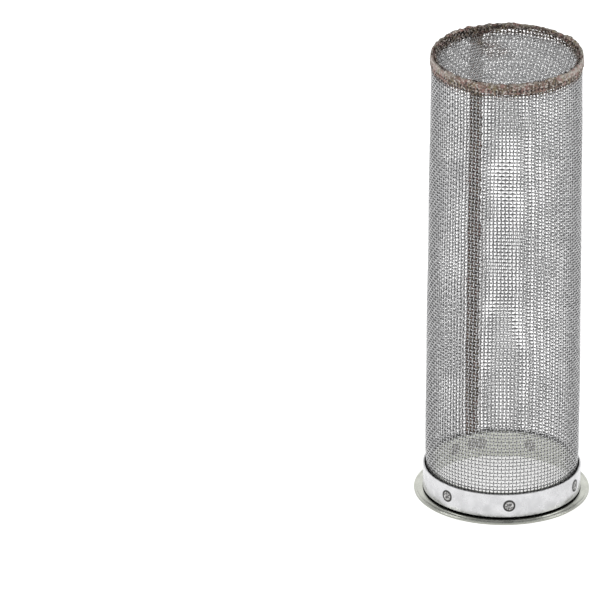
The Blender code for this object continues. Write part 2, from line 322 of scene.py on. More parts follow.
def straight_wire(bm, diameter, pitch, crossings, parity):
    """One wire along +X that bends over and under, up and down along Y, at each crossing."""
    radius = diameter / 2
    turn = Matrix.Rotation(math.radians(90.0), 4, "Y")
    start = Matrix.Translation((-pitch / 4, 0.0, 0.0))
    ring = bmesh.ops.create_circle(bm, segments=6, radius=radius * WIRE_CORNERS, matrix=start @ turn)["verts"]
    edges = list({edge for vert in ring for edge in vert.link_edges})
    bmesh.ops.spin(
        bm,
        geom=edges,
        cent=(0, 0, 0),
        axis=(0, 0, 1),
        dvec=(pitch / 2, 0, 0),
        angle=0.0,
        steps=2 * crossings - 1,
    )
    for vert in bm.verts:
        crossing = int((vert.co.x + pitch / 4) / (pitch / 2) + 0.5) // 2
        vert.co.y += radius if (crossing + parity) % 2 else -radius
    bmesh.ops.holes_fill(bm, edges=bm.edges, sides=6)
    bmesh.ops.recalc_face_normals(bm, faces=bm.faces)


def repeat(bm, step, copies):
    """Repeats all that a bmesh holds, a step further each time."""
    if copies > 1:
        bmesh.ops.spin(
            bm,
            geom=bm.verts[:] + bm.edges[:] + bm.faces[:],
            cent=(0, 0, 0),
            axis=(0, 0, 1),
            dvec=step,
            angle=0.0,
            steps=copies - 1,
            use_duplicate=True,
        )


def waves(turn, height, table):
    """Sum of slow waves over the tube, in metres."""
    return MM * sum(size * np.sin(count * turn + pace * height + phase) for size, count, pace, phase in table)


def roll_up(diameter, girth):
    """The move that rolls flat cloth into the tube: x goes round it, y out of it and z up it.

    The waves fade out where the band and the rim hold the cloth.
    """

    def move(x, y, z):
        turn = SEAM_TURN + x / girth * math.tau
        held_by_band = np.clip((z - 9 * MM) / (20 * MM), 0.0, 1.0)
        held_by_rim = np.clip((147 * MM - z) / (15 * MM), 0.15, 1.0)
        free = held_by_band * held_by_rim
        radius = tube_radius(z) - diameter + y + waves(turn, z, DENT_WAVES) * free
        swayed = turn + waves(turn, z, SWAY_WAVES) * free / radius
        return radius * np.sin(swayed), -radius * np.cos(swayed), z + waves(turn, z, RISE_WAVES) * free

    return move


# Material helpers


class Nodes:
    """Short ways to make and join the nodes of one tree."""

    def __init__(self, tree):
        self.tree = tree

    def node(self, kind, **settings):
        made = self.tree.nodes.new(kind)
        for key, value in settings.items():
            setattr(made, key, value)
        return made

    def join(self, value, socket):
        if isinstance(value, bpy.types.NodeSocket):
            self.tree.links.new(value, socket)
        else:
            socket.default_value = value

    def maths(self, operation, *values):
        made = self.node("ShaderNodeMath", operation=operation)
        for value, socket in zip(values, made.inputs):
            self.join(value, socket)
        return made.outputs[0]


class Finish(Nodes):
    """A procedural material. Its patterns read Object coordinates unless it is given another place."""

    def __init__(self, name, metallic, roughness):
        self.material = bpy.data.materials.new(name)
        self.material.use_nodes = True
        super().__init__(self.material.node_tree)
        self.shader = self.tree.nodes["Principled BSDF"]
        self.shader.inputs["Metallic"].default_value = metallic
        self.shader.inputs["Roughness"].default_value = roughness
        self.place = self.node("ShaderNodeTexCoord").outputs["Object"]

    def attribute(self, name):
        """A value that the piece's own mesh holds for each vertex."""
        return self.node("ShaderNodeAttribute", attribute_name=name).outputs["Fac"]

    def both(self, *shares):
        """Product of several shares."""
        product = shares[0]
        for share in shares[1:]:
            product = self.maths("MULTIPLY", product, share)
        return product

    def dot(self, direction):
        made = self.node("ShaderNodeVectorMath", operation="DOT_PRODUCT")
        self.join(self.place, made.inputs[0])
        made.inputs[1].default_value = direction
        return made.outputs["Value"]

    def across(self):
        """Distance from the tube's axis."""
        made = self.node("ShaderNodeVectorMath", operation="MULTIPLY")
        self.join(self.place, made.inputs[0])
        made.inputs[1].default_value = (1.0, 1.0, 0.0)
        length = self.node("ShaderNodeVectorMath", operation="LENGTH")
        self.join(made.outputs[0], length.inputs[0])
        return length.outputs["Value"]

    def height(self):
        return self.dot((0.0, 0.0, 1.0))

    def blotches(self, size, detail=3.0, roughness=0.55, stretch=(1.0, 1.0, 1.0)):
        """Noise with lumps of about a given size in metres, from 0 to 1."""
        scaled = self.node("ShaderNodeMapping")
        self.join(self.place, scaled.inputs["Vector"])
        scaled.inputs["Scale"].default_value = stretch
        made = self.node("ShaderNodeTexNoise")
        self.join(scaled.outputs["Vector"], made.inputs["Vector"])
        made.inputs["Scale"].default_value = 1.0 / size
        made.inputs["Detail"].default_value = detail
        made.inputs["Roughness"].default_value = roughness
        return made.outputs["Fac"]

    def ease(self, value, low, high, to_low=0.0, to_high=1.0):
        """Smooth step of a value from one range to another."""
        made = self.node("ShaderNodeMapRange", interpolation_type="SMOOTHSTEP")
        self.join(value, made.inputs["Value"])
        made.inputs["From Min"].default_value = low
        made.inputs["From Max"].default_value = high
        made.inputs["To Min"].default_value = to_low
        made.inputs["To Max"].default_value = to_high
        return made.outputs["Result"]

    def mix(self, share, first, second, blend="MIX"):
        made = self.node("ShaderNodeMix", data_type="RGBA", blend_type=blend)
        self.join(share, made.inputs["Factor"])
        for socket, colour in ((made.inputs[6], first), (made.inputs[7], second)):
            self.join(colour if isinstance(colour, bpy.types.NodeSocket) else (*colour, 1.0), socket)
        return made.outputs[2]

    def bump(self, height, depth):
        made = self.node("ShaderNodeBump")
        made.inputs["Distance"].default_value = depth
        self.join(height, made.inputs["Height"])
        self.join(made.outputs["Normal"], self.shader.inputs["Normal"])

    def colour(self, value):
        self.join(value, self.shader.inputs["Base Color"])

    def gloss(self, value):
        self.join(value, self.shader.inputs["Roughness"])


def heat_colours(finish, colours, bright=0.8):
    """Brown fused metal with pink, olive and dark patches, and bright flecks."""
    broad = finish.ease(finish.blotches(2.6 * MM), 0.42, 0.62)
    olive = finish.ease(finish.blotches(1.7 * MM, stretch=(1.0, 1.0, 0.7)), 0.50, 0.66)
    dark = finish.ease(finish.blotches(0.9 * MM), 0.51, 0.60)
    mixed = finish.mix(broad, colours.heat_brown, colours.heat_pink)
    mixed = finish.mix(olive, mixed, colours.heat_olive)
    mixed = finish.mix(finish.both(dark, 0.85), mixed, SOOT_SHADE)
    flecks = finish.ease(finish.blotches(0.7 * MM, detail=2.0), 0.53, 0.62)
    return finish.mix(finish.both(flecks, bright), mixed, colours.heat_pale)


def wire_finish(colours):
    """Grey wire with painted shade down its flanks and bright crowns, dull in patches, browned near the rim
    and the seam.

    One material serves all the woven pieces. The frame has a plain one called wire, so this has another name.
    """
    if "woven_wire" in bpy.data.materials:
        return bpy.data.materials["woven_wire"]
    finish = Finish("woven_wire", 0.9, 0.36)
    patches = finish.ease(finish.blotches(1.4 * MM), 0.35, 0.65)
    clean = finish.mix(patches, colours.wire_dark, colours.wire_light)
    off_disc = finish.ease(finish.across(), 21.2 * MM, 22.5 * MM)
    near_rim = finish.both(finish.ease(finish.height(), *HEAT_HEIGHTS), off_disc)
    aside = finish.maths("ABSOLUTE", finish.dot(alongside(SEAM_TURN)))
    on_side = finish.ease(finish.dot(outward(SEAM_TURN)), 0.0, 10 * MM)
    patchy = finish.ease(finish.blotches(2.2 * MM), 0.30, 0.60, 0.25, 1.0)
    near_seam = finish.both(finish.ease(aside, 5.5 * MM, 1.8 * MM), on_side, 0.8, patchy)
    shade = finish.mix(finish.maths("MAXIMUM", near_rim, near_seam), clean, heat_colours(finish, colours))
    # Painted shade: the wires darken down their flanks towards the cloth's middle and keep full colour on
    # their crowns.
    crowns = finish.ease(finish.attribute("crown"), 0.20, 0.85, 0.36, 1.0)
    shade = finish.mix(1.0, shade, crowns, blend="MULTIPLY")
    # Painted shadow: the outer side of the wires darkens just above the band's top edge.
    near_band = finish.ease(finish.height(), BAND_HIGH.z + 2.0 * MM, BAND_HIGH.z + 0.5 * MM, 0.0, 0.85)
    band_edge_shadow = finish.both(near_band, finish.ease(finish.across(), 23.3 * MM, 23.6 * MM))
    finish.colour(finish.mix(band_edge_shadow, shade, BAND_EDGE_SHADOW))
    finish.gloss(finish.ease(finish.blotches(0.9 * MM), 0.3, 0.7, 0.20, 0.34))
    finish.bump(finish.blotches(0.12 * MM, detail=2.0), 0.012 * MM)
    return finish.material


def fused_finish(name, colours, metallic, depth, bright):
    """Melted metal: lumpy, tinted by heat, with painted sheen at the rim's sides, painted highlight on its
    crest, painted shade in hollows.
    """
    finish = Finish(name, metallic, 0.5)
    # Painted sheen: the upper outer face of the rim turns pale in speckles at its left and right sides.
    at_sides = finish.ease(finish.maths("ABSOLUTE", finish.dot((1.0, 0.0, 0.0))), 14 * MM, 21 * MM)
    at_top = finish.ease(finish.height(), *SIDE_SHEEN_HEIGHTS)
    outside = finish.ease(finish.across(), 23.6 * MM, 23.8 * MM)
    speckled = finish.ease(finish.blotches(0.9 * MM), 0.35, 0.62, 0.1, 0.65)
    side_sheen = finish.both(at_sides, at_top, outside, speckled)
    shade = finish.mix(side_sheen, heat_colours(finish, colours, bright), colours.heat_pale)
    # Painted highlight: a paler colour along the rim's crest.
    smooth = finish.ease(finish.blotches(3.5 * MM), 0.45, 0.60)
    crest = finish.both(finish.ease(finish.height(), *CREST_HIGHLIGHT_HEIGHTS), 0.55, smooth)
    shade = finish.mix(crest, shade, CREST_HIGHLIGHT)
    # Painted shade: dark in the cloth's openings in the fused metal, in patches.
    in_patches = finish.ease(finish.blotches(2.4 * MM), 0.32, 0.52)
    hollows = finish.both(finish.ease(finish.attribute("hollow"), 0.12, 0.55, 0.0, 0.9), in_patches)
    finish.colour(finish.mix(hollows, shade, HOLLOW_SHADOW))
    finish.gloss(finish.ease(finish.blotches(1.1 * MM), 0.3, 0.7, 0.30, 0.58))
    lumps = finish.maths("ADD", finish.blotches(0.7 * MM, detail=4.0), finish.blotches(0.25 * MM, detail=2.0))
    finish.bump(lumps, depth)
    return finish.material


def sheet_finish(name, colour, roughness, cloud, edge_radius):
    """Plated or bright sheet: faint clouds, fine rolling lines and small rubs.

    With an edge radius it also gets a duller cut edge there, and a painted shadow in the crevice under the
    band.
    """
    finish = Finish(name, 0.92, roughness)
    pale = tuple(min(1.0, part * (1.0 + cloud)) for part in colour)
    dull = tuple(part * (1.0 - cloud) for part in colour)
    clouds = finish.ease(finish.blotches(5.0 * MM, detail=4.0), 0.35, 0.65)
    shade = finish.mix(clouds, dull, pale)
    rubs = finish.ease(finish.blotches(1.2 * MM, detail=5.0, stretch=(1.0, 1.0, 5.0)), 0.60, 0.72)
    shade = finish.mix(finish.both(rubs, 0.25), shade, tuple(part * 0.72 for part in colour))
    if edge_radius:
        edge = finish.ease(finish.across(), edge_radius - 0.15 * MM, edge_radius + 0.02 * MM)
        shade = finish.mix(edge, shade, tuple(part * 0.55 for part in colour))
        # Painted shadow: near black in the crevice outside the sleeve, between the flange and the band's
        # lower edge.
        crevice = finish.both(
            finish.ease(finish.across(), 22.8 * MM, 23.0 * MM),
            finish.ease(finish.across(), 24.95 * MM, 24.65 * MM),
            finish.ease(finish.height(), 0.3 * MM, 0.6 * MM),
            finish.ease(finish.height(), 7.0 * MM, 5.0 * MM),
        )
        shade = finish.mix(crevice, shade, CREVICE_SHADOW)
    finish.colour(shade)
    rubbing = finish.blotches(3.0 * MM, detail=4.0)
    finish.gloss(finish.ease(rubbing, 0.3, 0.7, roughness * 0.6, roughness * 1.6))
    finish.bump(finish.blotches(0.5 * MM, detail=4.0, stretch=(1.0, 1.0, 6.0)), 0.006 * MM)
    return finish.material


# Pieces


class STRAINER_OT_wire_cloth(bpy.types.Operator):
    """Weave the tube's wire cloth: upright wires and level wires, over and under each other"""

    bl_idname = "strainer.wire_cloth"
    bl_label = "Wire cloth tube"

    def execute(self, context):
        sizes = context.scene.strainer_sizes
        material = wire_finish(context.scene.strainer_colours)
        diameter = sizes.wire_diameter
        pitch = sizes.row_pitch
        girth = math.tau * CLOTH_MIDDLE
        step = girth / sizes.wires_around
        top = RIM_HIGH.z - 1.3 * MM
        rows = int((top - CLOTH_FOOT) / pitch)
        first_row = int((BAND_HIGH.z - 1.0 * MM - CLOTH_FOOT) / pitch)
        upright = Matrix.Rotation(math.radians(-90.0), 4, "Y")
        for parity, name in ((0, "upright_wires_even"), (1, "upright_wires_odd")):
            bm = bmesh.new()
            straight_wire(bm, diameter, pitch, rows, parity)
            bmesh.ops.transform(bm, matrix=upright, verts=bm.verts)
            bmesh.ops.translate(bm, vec=((parity + 0.5) * step, 0.0, CLOTH_FOOT), verts=bm.verts)
            repeat(bm, (2 * step, 0.0, 0.0), sizes.wires_around // 2)
            self.finish_wires(name, bm, material, diameter, girth)
        for parity, name in ((0, "level_wires_even"), (1, "level_wires_odd")):
            lowest = first_row + (first_row + parity) % 2
            bm = bmesh.new()
            straight_wire(bm, diameter, step, sizes.wires_around, parity + 1)
            bmesh.ops.translate(bm, vec=(0.5 * step, 0.0, CLOTH_FOOT + lowest * pitch), verts=bm.verts)
            repeat(bm, (0.0, 0.0, 2 * pitch), (rows - lowest + 1) // 2)
            self.finish_wires(name, bm, material, diameter, girth)
        return {"FINISHED"}

    def finish_wires(self, name, bm, material, diameter, girth):
        piece = finish_piece(name, bm, material, ("mesh_tube",), sharp_degrees=0.0)
        mark_crowns(piece.data, 1, diameter)
        reshape(piece.data, roll_up(diameter, girth))


class STRAINER_OT_end_disc(bpy.types.Operator):
    """Weave the round of cloth that closes the top, with its edge folded up inside the tube"""

    bl_idname = "strainer.end_disc"
    bl_label = "End disc"

    def execute(self, context):
        sizes = context.scene.strainer_sizes
        diameter = sizes.wire_diameter * 1.1
        middle = RIM_HIGH.z - sizes.disc_recess - diameter
        bend = 1.0 * MM
        wall = 22.45 * MM
        edge_top = RIM_HIGH.z - 1.2 * MM
        flat = wall - bend
        reach = flat + bend * math.pi / 2 + (edge_top - middle - bend)
        bm = self.weave(diameter, reach, sizes)

        def fold(x, y, z):
            out = np.maximum(np.hypot(x, y), 1e-9)
            turned = np.clip((out - flat) / bend, 0.0, math.pi / 2)
            over = np.maximum(out - flat - bend * math.pi / 2, 0.0)
            radius = np.minimum(out, flat) + (bend - z) * np.sin(turned)
            rise = bend - (bend - z) * np.cos(turned) + over
            sag = 0.25 * MM * np.cos(np.clip(out / flat, 0.0, 1.0) * math.pi / 2)
            ripple = 0.08 * MM * np.sin(x / (5 * MM)) * np.cos(y / (6 * MM) + 1.0)
            low = np.where(out < flat, z, rise)
            return x / out * radius, y / out * radius, middle + low - sag + ripple * (out < flat)

        material = wire_finish(context.scene.strainer_colours)
        piece = finish_piece("disc_wires", bm, material, ("end_disc", "disc_edge"), sharp_degrees=0.0)
        full_crown = diameter * 0.72
        mark_crowns(piece.data, 2, full_crown)
        reshape(piece.data, fold)
        return {"FINISHED"}

    def weave(self, diameter, reach, sizes):
        """A flat round of cloth of a given radius, pulled out of square and turned."""
        pitch = 1.21 * MM
        count = 2 * int(reach / pitch / math.cos(sizes.disc_skew)) + 3
        start = -(count - 1) / 2 * pitch
        bm = bmesh.new()
        for layer in range(2):
            for parity in range(2):
                part = bmesh.new()
                straight_wire(part, diameter, pitch, count, parity + layer)
                lie = Matrix.Rotation(math.radians(90.0), 4, "X")
                bmesh.ops.transform(part, matrix=lie, verts=part.verts)
                bmesh.ops.translate(part, vec=(start, start + parity * pitch, 0.0), verts=part.verts)
                repeat(part, (0.0, 2 * pitch, 0.0), (count + 1 - parity) // 2)
                if layer:
                    quarter = Matrix.Rotation(math.radians(90.0), 4, "Z") @ Matrix.Diagonal((1, -1, 1, 1))
                    bmesh.ops.transform(part, matrix=quarter, verts=part.verts)
                    bmesh.ops.reverse_faces(part, faces=part.faces)
                mesh = bpy.data.meshes.new("disc_wires")
                part.to_mesh(mesh)
                part.free()
                bm.from_mesh(mesh)
                bpy.data.meshes.remove(mesh)
        half_skew = sizes.disc_skew / 2
        pull = Matrix.Identity(4)
        pull[0][0] = pull[1][1] = math.cos(half_skew)
        pull[0][1] = pull[1][0] = -math.sin(half_skew)
        turn = Matrix.Rotation(sizes.disc_turn, 4, "Z")
        bmesh.ops.transform(bm, matrix=turn @ pull, verts=bm.verts)
        away = [face for face in bm.faces if face.calc_center_median().xy.length > reach]
        bmesh.ops.delete(bm, geom=away, context="FACES")
        bmesh.ops.holes_fill(bm, edges=bm.edges, sides=6)
        return bm


class STRAINER_OT_fused_rim(bpy.types.Operator):
    """Melt the ragged rim that joins the tube's end and the disc's edge"""

    bl_idname = "strainer.fused_rim"
    bl_label = "Fused rim"

    def execute(self, context):
        sizes = context.scene.strainer_sizes
        colours = context.scene.strainer_colours
        bm = bmesh.new()
        stand = Matrix.Rotation(math.radians(90.0), 4, "X")
        ring = bmesh.ops.create_circle(bm, segments=RIM_SECTION_POINTS, radius=1.0, matrix=stand)["verts"]
        edges = list({edge for vert in ring for edge in vert.link_edges})
        for vert in ring:
            vert.co = (2.0 + vert.co.x, 0.0, vert.co.z)
        bmesh.ops.spin(
            bm,
            geom=edges,
            cent=(0, 0, 0),
            axis=(0, 0, 1),
            angle=math.tau,
            steps=RIM_STEPS_PER_WIRE * sizes.wires_around,
            use_merge=True,
        )
        for vert in bm.verts:
            turn = math.atan2(vert.co.x, -vert.co.y) % math.tau
            vert.co = self.melted(turn, vert.co.xy.length - 2.0, vert.co.z, sizes)
        bmesh.ops.recalc_face_normals(bm, faces=bm.faces)
        material = fused_finish("rim_weld", colours, 0.7, 0.08 * MM, 0.9)
        piece = finish_piece("fused_rim", bm, material, ("rim_weld",), sharp_degrees=60.0)
        mark_hollows(piece.data, sizes, lambda z: np.clip((HOLLOW_HEIGHT - z) / HOLLOW_FADE, 0.0, 1.0))
        return {"FINISHED"}

    def melted(self, turn, side, level, sizes):
        """Place on the rim: side is -1 inside to 1 outside, level is -1 at the foot to 1 on the crest."""
        here = outward(turn) * RIM_PATTERN_RADIUS
        foot = (1.0 - level) / 2.0
        outside = np.interp(turn, RIM_TURNS, RIM_OUTER_DEPTHS)
        inside = np.interp(turn, RIM_TURNS, RIM_INNER_DEPTHS)
        outside += (0.45 * roughness_at(here, 4.0 * MM, 3.0) + 0.75 * roughness_at(here, 1.2 * MM, 8.0)) * MM
        inside += (0.45 * roughness_at(here, 3.0 * MM, 13.0) + 0.75 * roughness_at(here, 1.2 * MM, 18.0)) * MM
        depth = max(inside + (outside - inside) * (side + 1.0) / 2.0, RIM_LEAST_DEPTH)
        crest = (0.45 * roughness_at(here, 1.3 * MM, 1.0) + 0.45 * roughness_at(here, 4.5 * MM, 5.0)) * MM
        height = RIM_HIGH.z - RIM_CREST_DROP + crest * (1.0 - foot) - depth * foot
        spread = min(1.0, 1.25 * foot)
        middle = RIM_MIDDLE - RIM_LEAN * spread
        half_width = RIM_HALF_CREST + RIM_WIDENING * spread
        lump = 0.13 * MM * roughness_at(here + Vector((0, 0, height + side * MM)), 0.8 * MM, 12.0)
        lump += 0.06 * MM * roughness_at(here + Vector((0, 0, height - side * MM)), 0.3 * MM, 22.0)
        pit = CELL_PIT * cell_hollow(turn, height, sizes) * min(1.0, 1.6 * foot)
        radius = middle + math.copysign(abs(side) ** 0.45, side) * (half_width + lump - pit)
        return outward(turn) * radius + Vector((0, 0, min(height + 0.5 * lump, RIM_HIGH.z)))


class STRAINER_OT_fused_seam(bpy.types.Operator):
    """Melt the strip that joins the cloth's two edges up the side of the tube"""

    bl_idname = "strainer.fused_seam"
    bl_label = "Fused seam"

    def execute(self, context):
        sizes = context.scene.strainer_sizes
        colours = context.scene.strainer_colours
        bottom = 2.0 * MM
        top = RIM_HIGH.z - 1.6 * MM
        steps = 330
        sides = 20
        bm = bmesh.new()
        ring = bmesh.ops.create_circle(bm, segments=sides, radius=1.0)["verts"]
        edges = list({edge for vert in ring for edge in vert.link_edges})
        bmesh.ops.spin(
            bm,
            geom=edges,
            cent=(0, 0, 0),
            axis=(0, 0, 1),
            dvec=(0, 0, 1.0),
            angle=0.0,
            steps=steps,
        )
        bmesh.ops.holes_fill(bm, edges=bm.edges, sides=sides)
        for vert in bm.verts:
            across, out, level = vert.co
            height = bottom + (top - bottom) * level / steps
            side = 1.0 if across > 0 else -1.0
            edge = Vector((side * 40 * MM, 0, height))
            half = sizes.seam_width / 2 + 0.38 * MM * roughness_at(edge, 2.2 * MM, 2.0)
            half += 0.30 * MM * roughness_at(edge, 0.9 * MM, 6.0)
            spread = math.copysign(abs(across) ** 0.8, across) * half
            lump = 0.17 * MM * roughness_at((spread, out * MM, height), 1.1 * MM, 4.0)
            lump += 0.08 * MM * roughness_at((spread, out * MM, height), 0.5 * MM, 9.0)
            thick = (0.42 * MM + lump) * math.copysign(abs(out) ** 0.5, out)
            radius = float(tube_radius(height)) - sizes.wire_diameter + thick
            turn = SEAM_TURN + spread / radius
            vert.co = outward(turn) * radius + Vector((0, 0, height))
        bmesh.ops.recalc_face_normals(bm, faces=bm.faces)
        material = fused_finish("seam_weld", colours, 0.65, 0.10 * MM, 0.3)
        piece = finish_piece("fused_seam", bm, material, ("seam_weld",), sharp_degrees=60.0)
        mark_hollows(piece.data, sizes, lambda z: np.full_like(z, 0.8))
        return {"FINISHED"}


def turned(bm, section, steps, angle=math.tau, start=0.0):
    """Turns a closed section of (radius, height) points round the axis; a part turn gets end caps."""
    corners = [bm.verts.new(outward(start) * radius + Vector((0, 0, height))) for radius, height in section]
    edges = [bm.edges.new(ends) for ends in zip(corners, corners[1:] + corners[:1])]
    whole = angle >= math.tau
    bmesh.ops.spin(bm, geom=edges, cent=(0, 0, 0), axis=(0, 0, 1), angle=angle, steps=steps, use_merge=whole)
    if not whole:
        bmesh.ops.holes_fill(bm, edges=bm.edges, sides=len(section))
    bmesh.ops.recalc_face_normals(bm, faces=bm.faces)


def fillet(centre_radius, centre_height, radius, start, end, steps):
    """Points of an arc in the radius and height plane, in degrees from the outward direction."""
    angles = [math.radians(start + (end - start) * step / steps) for step in range(steps + 1)]
    return [(centre_radius + radius * math.cos(a), centre_height + radius * math.sin(a)) for a in angles]


class STRAINER_OT_collar(bpy.types.Operator):
    """Press the collar: flange, bend and the sleeve inside the cloth"""

    bl_idname = "strainer.collar"
    bl_label = "Flanged collar"

    def execute(self, context):
        sizes = context.scene.strainer_sizes
        colours = context.scene.strainer_colours
        sheet = sizes.sheet
        outer = COLLAR_HIGH.x
        top = COLLAR_HIGH.z
        bend = 1.2 * MM
        bend_end = SLEEVE_OUTER + bend
        flat_start = bend_end + 1.1 * MM
        sleeve_inner = SLEEVE_OUTER - sheet
        edge = 0.22 * MM
        line = outer - 1.0 * MM
        line_floor = sheet - 0.07 * MM
        section = [(SLEEVE_OUTER - edge, top), (SLEEVE_OUTER, top - edge), (SLEEVE_OUTER, top * 0.7)]
        section += fillet(bend_end, sheet + bend, bend, 180, 270, 10)
        section += [(flat_start, sheet), (line - 0.14 * MM, sheet), (line - 0.05 * MM, line_floor)]
        section += [(line + 0.05 * MM, line_floor), (line + 0.14 * MM, sheet), (outer - edge, sheet)]
        section += fillet(outer - edge, sheet - edge, edge, 60, 0, 2)
        section += fillet(outer - edge, edge, edge, 0, -90, 3)
        section += [(flat_start, 0.0)]
        section += fillet(bend_end, bend + sheet, bend + sheet, 270, 180, 12)
        section += [(sleeve_inner, top * 0.7), (sleeve_inner, top - edge), (sleeve_inner + edge, top)]
        bm = bmesh.new()
        turned(bm, section, 240)
        for vert in bm.verts:
            out = vert.co.xy.length
            turn = math.atan2(vert.co.x, -vert.co.y)
            if out > 25.5 * MM and vert.co.z > 0.3 * MM:
                vert.co.z -= 0.05 * MM * (0.5 + 0.5 * math.sin(3 * turn + 0.7))
        finish = sheet_finish("collar", tuple(colours.collar), 0.14, 0.06, outer)
        finish_piece("collar", bm, finish, ("flange_collar",), sharp_degrees=40.0)
        return {"FINISHED"}


class STRAINER_OT_band(bpy.types.Operator):
    """Wrap the bright band round the cloth, with its two ends butted at the back"""

    bl_idname = "strainer.band"
    bl_label = "Clamp band"

    def execute(self, context):
        colours = context.scene.strainer_colours
        outer = BAND_HIGH.x
        inner = outer - 0.45 * MM
        low, high = BAND_LOW.z, BAND_HIGH.z
        edge = 0.12 * MM
        cuts = 14
        dent_reach = 2.6 * MM
        dent_depth = 0.26 * MM
        wave_depth = 0.03 * MM
        section = [(outer - edge, high)]
        section += [(outer, high - edge - (high - low - 2 * edge) * step / cuts) for step in range(cuts + 1)]
        section += [(outer - edge, low), (inner, low), (inner, high)]
        joint_width = 0.35 * MM
        gap = joint_width / outer
        bm = bmesh.new()
        turned(bm, section, 400, angle=math.tau - gap, start=BAND_JOINT_TURN + gap / 2)
        for vert in bm.verts:
            out = vert.co.xy.length
            if out < (inner + outer) / 2:
                continue
            turn = math.atan2(vert.co.x, -vert.co.y)
            drawn = 0.0
            for spot in SPOT_TURNS:
                round_by = (turn - spot + math.pi) % math.tau - math.pi
                near = math.hypot(round_by * outer, vert.co.z - SPOT_HEIGHT)
                drawn = max(drawn, math.exp(-((near / dent_reach) ** 4)))
            wave = 0.5 + 0.5 * math.sin(6 * turn + 1.0) * math.sin(vert.co.z / (3.5 * MM))
            vert.co.xy *= (out - dent_depth * drawn - wave_depth * wave) / out
        finish = sheet_finish("band", tuple(colours.band), 0.27, 0.08, 0.0)
        finish_piece("band", bm, finish, ("clamp_band",), sharp_degrees=35.0)
        return {"FINISHED"}


def spot_finish(colour):
    """Electrode mark: a dark sunk ring round a dull, crumpled middle.

    The UV map gives the place on it. Marks on the sleeve lie further along U; they are paler, with no ring.
    """
    finish = Finish("spot_mark", 0.85, 0.45)
    finish.place = finish.tree.nodes["Texture Coordinate"].outputs["UV"]
    centre = finish.node("ShaderNodeVectorMath", operation="DISTANCE")
    finish.join(finish.place, centre.inputs[0])
    centre.inputs[1].default_value = (0.5, 0.5, 0.0)
    off = centre.outputs["Value"]
    grain = finish.blotches(0.17, detail=3.0)
    dull = tuple(part * 0.36 for part in colour)
    bright = tuple(part * 2.0 for part in colour)
    shade = finish.mix(finish.ease(grain, 0.45, 0.63), dull, bright)
    ring = finish.both(finish.ease(off, 0.34, 0.39), finish.ease(off, 0.51, 0.48))
    shade = finish.mix(ring, shade, MARK_RING_SHADE)
    on_sleeve = finish.ease(finish.dot((1.0, 0.0, 0.0)), 1.0, 1.2, 0.0, 0.45)
    finish.colour(finish.mix(on_sleeve, shade, SLEEVE_MARK_SHADE))
    finish.bump(grain, 0.06 * MM)
    return finish.material


# Steps from a mark's edge to its middle: width as a share of the mark's radius, and rise in mm
MARK_STEPS = ((0.08, 0.0), (0.10, -0.06), (0.12, -0.05), (0.14, 0.05), (0.16, 0.0), (0.2, 0.02))
MARK_SEGMENTS = 32


def electrode_mark(bm, turn, height, radius, diameter, facing, seed):
    """A dished disc with a raised rim, wrapped on a cylinder; facing is 1 outside and -1 inside."""
    made = bmesh.ops.create_circle(bm, cap_ends=True, segments=MARK_SEGMENTS, radius=diameter / 2)
    verts = set(made["verts"])
    face = next(iter(made["verts"])).link_faces[0]
    uv = bm.loops.layers.uv.verify()
    along = 0.5 if facing > 0 else 2.5
    for share, rise in MARK_STEPS:
        grown = bmesh.ops.inset_region(
            bm,
            faces=[face],
            thickness=diameter / 2 * share,
            depth=rise * MM,
            use_even_offset=True,
        )
        for other in grown["faces"]:
            verts.update(other.verts)
    verts.update(face.verts)
    hub = bmesh.ops.poke(bm, faces=[face])["verts"]
    verts.update(hub)
    spin = Matrix.Rotation(seed * 1.3, 2)
    for loop_face in {f for vert in verts for f in vert.link_faces}:
        for loop in loop_face.loops:
            loop[uv].uv = Vector((along, 0.5)) + spin @ loop.vert.co.xy / diameter
    for vert in verts:
        across, up, out = vert.co
        middle = max(0.0, 1.0 - math.hypot(across, up) / (diameter * 0.36))
        out += 0.08 * MM * middle**0.5 * roughness_at((across, up, 0), 0.55 * MM, seed)
        out = out + 0.05 * MM
        here = turn + facing * across / radius
        vert.co = outward(here) * (radius + facing * out) + Vector((0, 0, height + up))


class STRAINER_OT_spot_marks(bpy.types.Operator):
    """Press the electrode marks of the spot welds, outside on the band and inside on the sleeve"""

    bl_idname = "strainer.spot_marks"
    bl_label = "Spot weld marks"

    def execute(self, context):
        sizes = context.scene.strainer_sizes
        material = spot_finish(tuple(context.scene.strainer_colours.spot))
        diameter = sizes.spot_diameter
        outside = BAND_HIGH.x - 0.12 * MM
        inside = SLEEVE_OUTER - sizes.sheet
        skirt = 0.35 * MM
        for number, turn in enumerate(SPOT_TURNS, 1):
            bm = bmesh.new()
            electrode_mark(bm, turn, SPOT_HEIGHT, outside, diameter, 1.0, number)
            electrode_mark(bm, turn, SPOT_HEIGHT, inside, diameter, -1.0, number + 20)
            if number == DOUBLE_SPOT:
                beside = turn + 2.7 * MM / inside
                electrode_mark(bm, beside, SPOT_HEIGHT + 0.4 * MM, inside - 0.03 * MM, diameter, -1.0, 40)
            edges = [edge for edge in bm.edges if edge.is_boundary]
            rim = bmesh.ops.extrude_edge_only(bm, edges=edges)["geom"]
            for vert in {item for item in rim if isinstance(item, bmesh.types.BMVert)}:
                out = vert.co.xy.length
                vert.co.xy *= (out + (-skirt if out > CLOTH_MIDDLE else skirt)) / out
            bmesh.ops.holes_fill(bm, edges=bm.edges, sides=MARK_SEGMENTS)
            bmesh.ops.recalc_face_normals(bm, faces=bm.faces)
            finish_piece(f"spot_mark_{number}", bm, material, (f"spot_weld_{number}",))
        return {"FINISHED"}


# Stage

